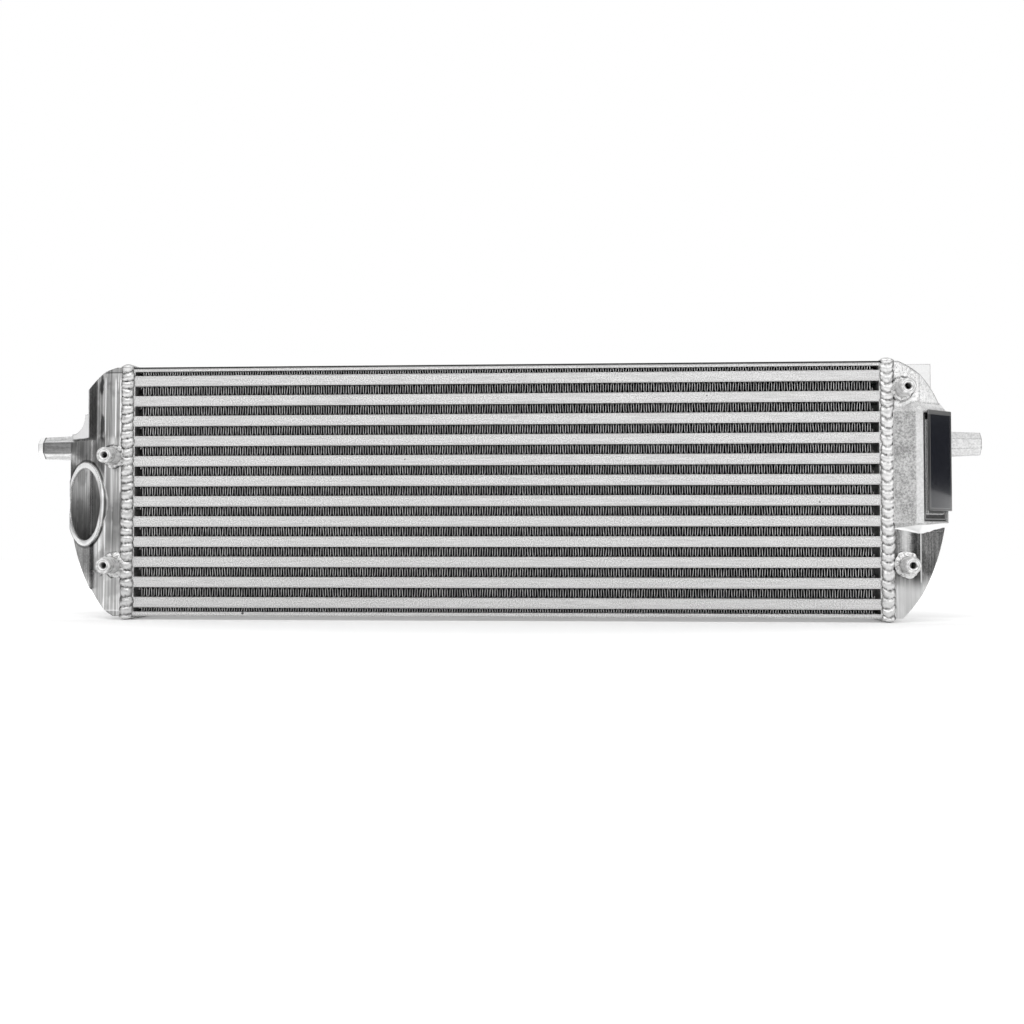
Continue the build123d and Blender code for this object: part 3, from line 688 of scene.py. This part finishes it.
def turned_metal():
    """Lathe rings round each boss's own axis."""
    made, tree, shader = material("turned_boss_metal")
    spot = place(tree)
    parts = axes(tree, spot)
    flat = put(tree, "ShaderNodeCombineXYZ", {0: parts[0], 1: 0.0, 2: parts[2]}).outputs[0]
    radius = vector_node(tree, "LENGTH", flat)
    ring_pitch = 1.5 * MM
    rings = math_node(tree, "SINE", times(tree, radius, 2 * math.pi / ring_pitch))
    mottle = grain(tree, spot, 300.0, 3.0)
    tone = plus(tree, mottle, times(tree, rings, 0.12))
    colour = between(tree, remap(tree, tone, 0.35, 0.65), grey(0.50, 0.004), grey(0.86, 0.003))
    # painted shade in corners and gaps
    colour = shaded(tree, colour, flipped(tree, crevice_shade(tree, 3.0 * MM)), 0.16)
    roughness = between(tree, mottle, 0.36, 0.52)
    wire(tree, shader, colour, roughness, bump(tree, rings, 0.3, 0.05 * MM))
    return made


def badge_gloss():
    """Bare black badge face in a thin moulded border, with a painted highlight along its top."""
    made, tree, shader = material("badge_gloss_black")
    spot = place(tree)
    dust = grain(tree, spot, 500.0, 3.0)
    parts = axes(tree, spot)
    corner = low("badge_plate")
    far = high("badge_plate")
    side_width = 1.06 * MM              # of the plate, at its inboard side
    face_start = corner[0] + side_width
    inset = 1.5 * MM
    inside_x = band(tree, parts[0], face_start + inset * 0.7, far[0] - inset * 0.7, 0.12 * MM)
    inside_z = band(tree, parts[2], corner[2] + inset, far[2] - inset, 0.15 * MM)
    inside = both(tree, inside_x, inside_z)
    inner_x = band(tree, parts[0], face_start + inset * 1.15, far[0] - inset * 1.15, 0.12 * MM)
    inner_z = band(tree, parts[2], corner[2] + inset * 1.6, far[2] - inset * 1.6, 0.15 * MM)
    line = minus(tree, inside, both(tree, inner_x, inner_z))
    black = (0.010, 0.011, 0.016, 1)
    dusty = (0.022, 0.024, 0.032, 1)
    colour = between(tree, remap(tree, dust, 0.55, 0.75), black, dusty)
    colour = between(tree, both(tree, flipped(tree, inside), 0.8), colour, grey(0.035))
    colour = between(tree, both(tree, line, 0.8), colour, grey(0.12))
    # painted highlight along the badge's top
    top_highlight = remap(tree, parts[2], far[2] - 4.0 * MM, far[2] - 3.4 * MM)
    colour = between(tree, both(tree, top_highlight, 0.8), colour, grey(0.15))
    relief = minus(tree, times(tree, dust, 0.05), inside)
    normal = bump(tree, relief, 0.4, 0.15 * MM)
    wire(tree, shader, colour, between(tree, dust, 0.10, 0.22), normal, metallic=0.0)
    shader.inputs["Coat Weight"].default_value = 0.6
    shader.inputs["Coat Roughness"].default_value = 0.06
    return made


# ---------------------------------------------------------------- meshes
def piece(name, vertices, faces, look, smooth_angle=40.0):
    """New object on the root body, in the part's frame."""
    mesh = bpy.data.meshes.new(name)
    mesh.from_pydata(vertices, [], faces)
    mesh.materials.append(look)
    if smooth_angle:
        mesh.shade_smooth()
        mesh.set_sharp_from_angle(angle=math.radians(smooth_angle))
    made = bpy.data.objects.new(name, mesh)
    bpy.context.scene.collection.objects.link(made)
    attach(made, "root")
    return made


def cad_mesh(node):
    """The node's mesh with its split vertices joined and its flat faces whole."""
    shape = bmesh.new()
    shape.from_mesh(NODES[node].data)
    bmesh.ops.remove_doubles(shape, verts=shape.verts, dist=0.002 * MM)
    bmesh.ops.dissolve_limit(
        shape,
        angle_limit=math.radians(0.6),
        use_dissolve_boundaries=False,
        verts=shape.verts,
        edges=shape.edges,
    )
    return shape


def bevelled(name, node, width, segments, look):
    """Copy of a CAD node with its sharp edges rounded, shown in its place."""
    shape = cad_mesh(node)
    sharp = math.radians(SHARP_ANGLE)
    edges = [e for e in shape.edges if e.is_manifold and e.calc_face_angle() > sharp]
    bmesh.ops.bevel(
        shape,
        geom=edges,
        offset=width,
        offset_type="OFFSET",
        segments=segments,
        profile=0.5,
        affect="EDGES",
        clamp_overlap=True,
    )
    bmesh.ops.recalc_face_normals(shape, faces=shape.faces)
    vertices = [vertex.co.copy() for vertex in shape.verts]
    faces = [[vertex.index for vertex in face.verts] for face in shape.faces]
    shape.free()
    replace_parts(piece(name, vertices, faces, look), node)


def fin_line(start, end, bottom, top, seed):
    """Rounded-U wave as points with left-hand normals and nearness to a leg: (x, z, nx, nz, leg)."""
    chance = random.Random(seed)
    legs = round((end - start) / LEG_SPACING)
    spacing = (end - start - FIN_SHEET) / legs
    bend = spacing / 2
    middle = (top + bottom) / 2
    crown = min(FIN_CROWN, (top - bottom) / 4)
    reach = (top - bottom) / 2 - crown - FIN_SHEET / 2
    line = []
    for leg in range(legs):
        side = 1 if leg % 2 == 0 else -1
        slip = chance.uniform(-0.05, 0.05) * spacing
        centre = start + FIN_SHEET / 2 + (leg + 0.5) * spacing
        sway = 0.22 * MM * noise.noise(Vector((centre * 55.0, seed * 3.7, 0.0)))
        for step in range(5):
            angle = math.pi * (1 - step / 4) if side > 0 else math.pi * (1 + step / 4)
            across = math.cos(angle)
            along = math.sin(angle)
            x = centre + bend * across + slip + side * sway
            leg_share = 1.0 - 0.65 * abs(math.sin(angle))
            z = middle + side * reach + crown * along
            line.append((x, z, side * across, side * along, leg_share))
    return line


def make_fin(node, seed, look):
    """Air fin whose walls wander sideways through the depth, so no light passes straight through."""
    start, front, bottom = low(node)
    end, rear, top = high(node)
    line = fin_line(start, end, bottom, top, seed)
    half = FIN_SHEET / 2
    stations = len(FIN_STATIONS)
    vertices = []
    edges = []
    for x, z, nx, nz, leg_share in line:
        for station, shift in zip(FIN_STATIONS, FIN_SHIFTS):
            depth = front + (rear - front) * station
            across = x + FIN_SWAY * shift
            vertices.append((across + nx * half, depth, z + nz * half))
            vertices.append((across - nx * half, depth, z - nz * half))
            # edge attribute: 1 at the core's faces, 0 inside where the sheet is painted dark as shade,
            # less at the bends
            edges.extend([leg_share if station in (0.0, 1.0) else 0.0] * 2)
    faces = []
    stride = 2 * stations
    for index in range(len(line) - 1):
        here = stride * index
        after = here + stride
        faces.append((here, here + 1, after + 1, after))
        faces.append((here + stride - 2, after + stride - 2, after + stride - 1, here + stride - 1))
        for station in range(stations - 1):
            first = here + 2 * station
            second = after + 2 * station
            faces.append((first, second, second + 2, first + 2))
            faces.append((first + 1, first + 3, second + 3, second + 1))
    made = piece(f"{node}_wave", vertices, faces, look, smooth_angle=0)
    made.data.attributes.new("edge", "FLOAT", "POINT").data.foreach_set("value", edges)
    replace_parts(made, node)


def bead_path():
    """(Y, Z) points round the joint, each with its outward direction."""
    corners = (
        (CORE_FRONT, 0.0, -90.0),
        (CORE_REAR, 0.0, 0.0),
        (CORE_REAR, CORE_TOP, 90.0),
        (CORE_FRONT, CORE_TOP, 180.0),
    )
    step = BEAD_PITCH / BEAD_STEPS
    path = []
    for index, (y, z, heading) in enumerate(corners):
        next_y, next_z, _ = corners[(index + 1) % len(corners)]
        run = Vector((next_y - y, next_z - z))
        count = max(2, round(run.length / step))
        outward = Vector((math.cos(math.radians(heading)), math.sin(math.radians(heading))))
        for place_on in range(count + 1):
            at = Vector((y, z)) + run * (place_on / count)
            path.append((at, outward))
        for turn in range(1, 6):
            angle = math.radians(heading + 15.0 * turn)
            path.append((Vector((next_y, next_z)), Vector((math.cos(angle), math.sin(angle)))))
    return path


def make_bead(node, look):
    """Weld bead of overlapping crescents, uneven as a hand-laid one is."""
    corner = low(node)
    far = high(node)
    middle = (corner[0] + far[0]) / 2
    side = 1 if middle > 0 else -1
    middle += side * BEAD_SHIFT
    half_width = (far[0] - corner[0]) / 2 + BEAD_SHIFT
    rise = -corner[2]
    path = bead_path()
    seed = 11.3 if side < 0 else 47.9
    bow = 0.12 if side < 0 else 0.40
    travel = 0.0
    previous = path[0][0] + path[0][1] * rise
    vertices = []
    crests = []
    for at, outward in path:
        here = at + outward * rise
        travel += (here - previous).length
        previous = here
        pace = travel / BEAD_PITCH
        drift = 0.36 * noise.noise(Vector((pace * 0.45, seed, 0.0)))
        slant = 0.30 * noise.noise(Vector((pace * 0.6, seed, 5.0)))
        weave = 0.14 * noise.noise(Vector((pace * 0.9, seed, 9.0)))
        swell = 1.0 + 0.16 * noise.noise(Vector((pace * 0.8, seed, 13.0)))
        for span in range(BEAD_SPANS + 1):
            across = 2 * span / BEAD_SPANS - 1
            phase = pace + drift + bow * across * across + slant * across
            ripple = abs(math.sin(math.pi * phase)) ** 0.55
            dome = (1 - abs(across) ** 2.2) ** 0.6 if abs(across) < 1 else 0.0
            lump = 1.0 + 0.12 * noise.noise(Vector((pace * 1.7, across * 1.5, seed)))
            height = min(rise, rise * dome * (0.42 + 0.58 * ripple) * lump)
            width = half_width * swell * (0.80 + 0.18 * ripple)
            spot = at + outward * (height - 0.15 * MM * (1 - dome))
            vertices.append((middle + width * across + half_width * weave, spot[0], spot[1]))
            crests.append(ripple * (0.35 + 0.65 * dome))
    faces = []
    rings = len(path)
    stride = BEAD_SPANS + 1
    for ring in range(rings):
        following = (ring + 1) % rings
        for span in range(BEAD_SPANS):
            first = ring * stride + span
            second = following * stride + span
            faces.append((first, first + 1, second + 1, second))
    made = piece(f"{node}_ripples", vertices, faces, look, smooth_angle=60)
    made.data.attributes.new("crest", "FLOAT", "POINT").data.foreach_set("value", crests)
    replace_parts(made, node)


def lathe(name, centre, profile, segments, look):
    """Turned piece about an axis along Y; the profile is (radius, distance ahead of centre)."""
    vertices = []
    for index in range(segments):
        angle = 2 * math.pi * index / segments
        for radius, ahead in profile:
            vertices.append((radius * math.cos(angle), -ahead, radius * math.sin(angle)))
    count = len(profile)
    faces = []
    for index in range(segments):
        following = (index + 1) % segments
        for ring in range(count - 1):
            first = index * count + ring
            second = following * count + ring
            faces.append((first, first + 1, second + 1, second))
    made = piece(name, vertices, faces, look, smooth_angle=32)
    made.location = centre
    return made


def boss_profile(radius, length):
    """Outside, rounded rim, faced end, countersunk mouth and thread grooves."""
    flank = radius - BOSS_RIM
    shoulder = length - BOSS_RIM
    profile = [(radius, 0.0), (radius, shoulder)]
    steps = 4
    for step in range(1, steps + 1):
        angle = math.pi / 2 * step / steps
        profile.append((flank + BOSS_RIM * math.cos(angle), shoulder + BOSS_RIM * math.sin(angle)))
    profile.append((BOSS_HOLE + 1.0 * MM, length - 0.1 * MM))
    profile.append((BOSS_HOLE + 0.7 * MM, length - 0.2 * MM))
    profile.append((BOSS_HOLE, length - 0.9 * MM))
    turns = int(THREAD_DEPTH / THREAD_PITCH) - 1
    for turn in range(turns):
        depth = length - 1.1 * MM - turn * THREAD_PITCH
        profile.append((BOSS_HOLE, depth))
        profile.append((BOSS_HOLE + 0.5 * MM, depth - 0.45 * THREAD_PITCH))
        profile.append((BOSS_HOLE, depth - 0.9 * THREAD_PITCH))
    profile.append((0.0, length - THREAD_DEPTH))
    return profile


def make_boss(node, turned, weld):
    """Turned boss and its weld."""
    corner = Vector(low(node))
    far = Vector(high(node))
    radius = (far.x - corner.x) / 2
    centre = Vector(((corner.x + far.x) / 2, far.y, (corner.z + far.z) / 2))
    profile = boss_profile(radius, far.y - corner.y)
    made = lathe(f"{node}_turned", centre, profile, 56, turned)
    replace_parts(made, node)
    make_boss_weld(node, centre, radius, weld)


def make_boss_weld(node, centre, radius, look):
    """Fillet weld run round the foot of a boss and over its cast seat."""
    seed = sum(map(ord, node)) * 0.37
    spread = (4.4 if "lower" in node else 3.6) * MM
    climb = 3.4 * MM
    vertices = []
    crests = []
    turns = 120
    rows = 12
    for turn in range(turns):
        angle = 2 * math.pi * turn / turns
        around = Vector((1.1 * math.cos(angle), 1.1 * math.sin(angle), seed))
        reach = spread * (0.86 + 0.5 * noise.noise(around))
        phase = 5.5 * angle / math.pi * 2 + 1.5 * noise.noise(around * 1.7)
        for row in range(rows):
            part = row / (rows - 1)
            ripple = abs(math.sin(math.pi * (phase / 2 + 0.45 * part)))
            swell = 0.90 + 0.10 * ripple
            ring = radius + reach * swell * (1 - math.sin(math.pi / 2 * part))
            ahead = climb * (1 - math.cos(math.pi / 2 * part)) * swell
            crust = noise.noise(Vector((9 * math.cos(angle), 9 * math.sin(angle), seed + 4 * part)))
            puff = (0.45 + 0.9 * crust) * MM * math.sin(math.pi * part)
            vertices.append((ring * math.cos(angle), -ahead - puff + 0.3 * MM, ring * math.sin(angle)))
            crests.append(0.55 + 0.45 * ripple + 0.5 * min(crust, 0.0))
    faces = []
    for turn in range(turns):
        following = (turn + 1) % turns
        for row in range(rows - 1):
            first = turn * rows + row
            second = following * rows + row
            faces.append((first, first + 1, second + 1, second))
    made = piece(f"{node}_fillet", vertices, faces, look, smooth_angle=60)
    made.location = centre
    made.data.attributes.new("crest", "FLOAT", "POINT").data.foreach_set("value", crests)


def make_spatter(look):
    """Crust of small weld drops thrown on the facet outboard of the left lower boss."""
    chance = random.Random(5)
    shape = bmesh.new()
    for drop in range(26):
        out = chance.uniform(23.0, 38.0) * MM
        height = (35.2 + 0.06 * (out / MM - 23.0) + chance.gauss(0.0, 1.1)) * MM
        size = chance.uniform(0.35, 0.95) * MM
        made = bmesh.ops.create_icosphere(shape, subdivisions=2, radius=size)
        for vertex in made["verts"]:
            bulge = 1.0 + 0.25 * noise.noise(vertex.co * 900.0 + Vector((drop, 0.0, 0.0)))
            across = vertex.co.x * 1.7 * bulge
            up = height + vertex.co.z * bulge
            vertex.co = Vector((-CORE_END - out + across, CORE_FRONT + out - LEFT_FLAT - across, up))
            vertex.co += Vector((-0.5, -0.5, 0.0)) * size * 0.5
    vertices = [vertex.co.copy() for vertex in shape.verts]
    faces = [[vertex.index for vertex in face.verts] for face in shape.faces]
    shape.free()
    made = piece("left_weld_spatter", vertices, faces, look, smooth_angle=60)
    crests = [0.9] * len(vertices)
    made.data.attributes.new("crest", "FLOAT", "POINT").data.foreach_set("value", crests)


# ---------------------------------------------------------------- dressing
def repaint(names, look):
    for name in names:
        slots = NODES[name].data.materials
        slots.clear()
        slots.append(look)


def dress_core():
    repaint((*TUBE_NAMES, *PLATE_NAMES), bar_metal())
    fins = fin_metal()
    repaint(TURBULATOR_NAMES, inner_metal())
    for seed, name in enumerate(FIN_NAMES):
        make_fin(name, 10 * seed, fins)


def dress_part():
    dress_core()
    welds = {
        "left": weld_metal("left_weld_metal", 0.10, 0.66),
        "right": weld_metal("right_weld_metal", 0.22, 0.74),
    }
    turned = turned_metal()
    for side in SIDES:
        look = cast_metal(side)
        bevelled(f"{side}_tank_casting", f"{side}_tank", CAST_ROUNDING, 2, look)
        make_bead(f"{side}_weld_bead", welds[side])
    for name in BOSS_NAMES:
        make_boss(name, turned, welds[name.split("_")[0]])
    make_spatter(welds["right"])
    bevelled("badge_plate_gloss", "badge_plate", BADGE_ROUNDING, 4, badge_gloss())


# ---------------------------------------------------------------- studio
def make_floor():
    """White table that keeps the part's shadow. The camera and mirrors see it with a glow that
    grows away from the part and runs into the white backdrop.
    """
    made, tree, shader = material("white_table")
    tree.nodes.remove(shader)
    output = tree.nodes[0]
    path = put(tree, "ShaderNodeLightPath").outputs
    seen = greatest(tree, path["Is Camera Ray"], path["Is Glossy Ray"])
    seen = greatest(tree, seen, path["Is Transmission Ray"])
    plain = put(tree, "ShaderNodeBsdfDiffuse", {"Color": grey(0.9)}).outputs[0]
    spot = place(tree)
    away = vector_node(tree, "LENGTH", stretched(tree, spot, (0.6, 1.0, 0.0)))
    lift = remap(tree, away, 0.14, 0.42, 0.03, 0.40)
    # painted light: extra glow under the part lightens its shadow in the gap
    under = band(tree, axes(tree, spot)[1], CORE_FRONT - 2 * MM, CORE_REAR, 3 * MM)
    lift = greatest(tree, lift, both(tree, under, 0.22))
    glow = put(tree, "ShaderNodeEmission", {"Color": grey(1.0), "Strength": lift}).outputs[0]
    lifted = put(tree, "ShaderNodeAddShader", {0: plain, 1: glow}).outputs[0]
    mixed = put(tree, "ShaderNodeMixShader", {0: seen, 1: plain, 2: lifted}).outputs[0]
    tree.links.new(mixed, output.inputs[0])
    reach = 3.0
    mesh = bpy.data.meshes.new("table")
    turns = ((-1, -1), (1, -1), (1, 1), (-1, 1))
    mesh.from_pydata([(reach * x, reach * y, FLOOR) for x, y in turns], [], [(0, 1, 2, 3)])
    mesh.materials.append(made)
    table = bpy.data.objects.new("table", mesh)
    bpy.context.scene.collection.objects.link(table)


def make_world():
    """White backdrop. Metal sees it behind the part and overhead, dark wings at both sides
    with a bright strip in each, and a dim wall behind the camera.
    """
    world = bpy.data.worlds.new("studio")
    bpy.context.scene.world = world
    world.use_nodes = True
    tree = world.node_tree
    tree.nodes.clear()
    path = put(tree, "ShaderNodeLightPath").outputs
    direction = put(tree, "ShaderNodeTexCoord").outputs["Generated"]
    parts = axes(tree, direction)
    sideways = math_node(tree, "ABSOLUTE", parts[0])
    wing = remap(tree, sideways, 0.42, 0.70)
    behind = remap(tree, parts[1], 0.0, 0.5)
    wall = between(tree, behind, grey(0.50), grey(1.0))
    wall = between(tree, wing, wall, grey(0.04))
    strip = both(tree, band(tree, sideways, 0.66, 0.80, 0.03), remap(tree, parts[1], 0.0, -0.1))
    wall = between(tree, strip, wall, grey(1.3))
    room = between(tree, remap(tree, parts[2], 0.12, 0.60), wall, grey(0.95))
    mirrored = greatest(tree, path["Is Glossy Ray"], path["Is Transmission Ray"])
    colour = between(tree, mirrored, grey(0.95), room)
    colour = between(tree, path["Is Camera Ray"], colour, grey(1.0))
    shader = put(tree, "ShaderNodeBackground", {"Color": colour, "Strength": 1.0})
    output = put(tree, "ShaderNodeOutputWorld")
    tree.links.new(shader.outputs[0], output.inputs[0])


def make_lamp(name, place_at, size, power):
    """Soft lamp aimed at the middle of the part."""
    aim = Vector((0.0, 0.0, 0.1))
    lamp = bpy.data.lights.new(name, "AREA")
    lamp.shape = "RECTANGLE"
    lamp.size, lamp.size_y = size
    lamp.energy = power
    made = bpy.data.objects.new(name, lamp)
    made.location = place_at
    made.rotation_euler = (aim - Vector(place_at)).to_track_quat("-Z", "Y").to_euler()
    bpy.context.scene.collection.objects.link(made)


def make_camera():
    """The photograph's view: focal length and principal point in pixels of a 1024 frame."""
    frame_width = 1024
    focal = 1400
    principal_row = 491
    tilt = 2.0                          # degrees up from level
    turn = 4.10                         # degrees to the left of straight ahead
    camera = bpy.data.cameras.new("camera")
    camera.sensor_width = 36.0
    camera.lens = focal / frame_width * camera.sensor_width
    camera.shift_y = (principal_row - frame_width / 2) / frame_width
    camera.clip_start = 0.05
    made = bpy.data.objects.new("camera", camera)
    made.location = (0.0887, -1.1442, 0.0612)
    made.rotation_euler = (math.radians(90 + tilt), 0.0, math.radians(turn))
    bpy.context.scene.collection.objects.link(made)
    bpy.context.scene.camera = made


dress_part()
make_floor()
make_world()
make_lamp("key", place_at=(-0.5, -1.3, 1.5), size=(1.6, 0.9), power=9.0)
make_lamp("fill", place_at=(1.1, -1.2, 0.9), size=(0.9, 0.9), power=3.0)
make_camera()
bpy.context.scene.view_settings.view_transform = "Standard"
